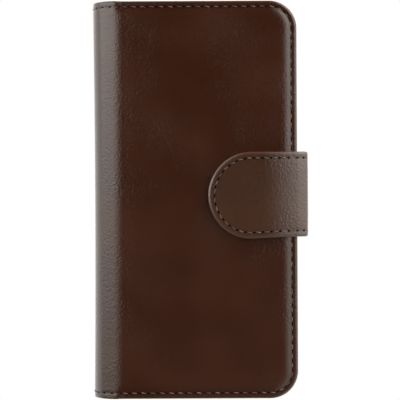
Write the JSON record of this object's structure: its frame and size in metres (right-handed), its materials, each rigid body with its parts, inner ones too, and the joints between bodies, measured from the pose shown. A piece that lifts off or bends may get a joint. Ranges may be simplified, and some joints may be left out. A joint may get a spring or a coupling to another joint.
{
  "type": "phone wallet case",
  "caption": "Folding leather phone wallet with a half-round spine, snap-in phone tray, card pockets and a magnetic strap round the fore edge.",
  "frame": {"origin": "middle of the back panel's resting face, half way between the spine and the fore edge", "axes": "+Z out of the front cover, +Y along the spine towards the top, +X from the spine to the fore edge and the strap"},
  "size_m": [0.082, 0.1504, 0.0222],
  "materials": {
    "outer_leather": "smooth dark brown leather, semi-gloss, fine grain",
    "strap_leather": "smooth dark brown leather, semi-gloss",
    "lining": "matt brown split leather lining",
    "pocket_leather": "smooth brown leather with burnished edges",
    "board": "bonded leather board",
    "foam": "closed-cell foam sheet",
    "adhesive": "translucent mounting adhesive",
    "tray": "matt black moulded elastomer",
    "thread": "waxed brown polyester thread",
    "steel": "plain steel disc",
    "magnet": "nickel-plated magnet"
  },
  "bodies": {
    "back": {"back_leather": "outer_leather", "back_board": "board", "back_lining": "lining", "back_hinge_lining": "lining", "tray_adhesive": "adhesive", "phone_tray": "tray", "back_stitching": "thread", "strap_root_leather": "strap_leather", "strap_root_lining": "lining"},
    "spine": {"spine_leather": "outer_leather", "spine_stiffener": "board", "spine_lining": "lining", "spine_stitching": "thread"},
    "front_cover": {"front_leather": "outer_leather", "front_foam": "foam", "front_board": "board", "front_lining": "lining", "front_hinge_lining": "lining", "front_stitching": "thread", "catch_plate": "steel", "bill_pocket": "pocket_leather", "card_pocket_1": "pocket_leather", "card_pocket_2": "pocket_leather", "card_pocket_3": "pocket_leather", "pocket_stitching": "thread"},
    "strap_side": {"side_leather": "strap_leather", "side_lining": "lining", "side_stitching": "thread"},
    "strap_tip": {"tip_leather": "strap_leather", "tip_core": "board", "tip_magnet": "magnet", "tip_lining": "lining", "tip_stitching": "thread"}
  },
  "joints": [
    {"name": "spine_fold", "type": "hinge", "parent": "back", "child": "spine", "pos_m": [-0.03616, 0, 0.00284], "axis": [0, -1, 0], "range_deg": [0, 170]},
    {"name": "cover_fold", "type": "hinge", "parent": "spine", "child": "front_cover", "pos_m": [-0.03616, 0, 0.01656], "axis": [0, -1, 0], "range_deg": [0, 170]},
    {"name": "strap_root_fold", "type": "hinge", "parent": "back", "child": "strap_side", "pos_m": [0.04186, 0, 0.00214], "axis": [0, 1, 0], "range_deg": [0, 110]},
    {"name": "strap_bend_fold", "type": "hinge", "parent": "strap_side", "child": "strap_tip", "pos_m": [0.04186, 0, 0.02106], "axis": [0, 1, 0], "range_deg": [0, 170]}
  ]
}
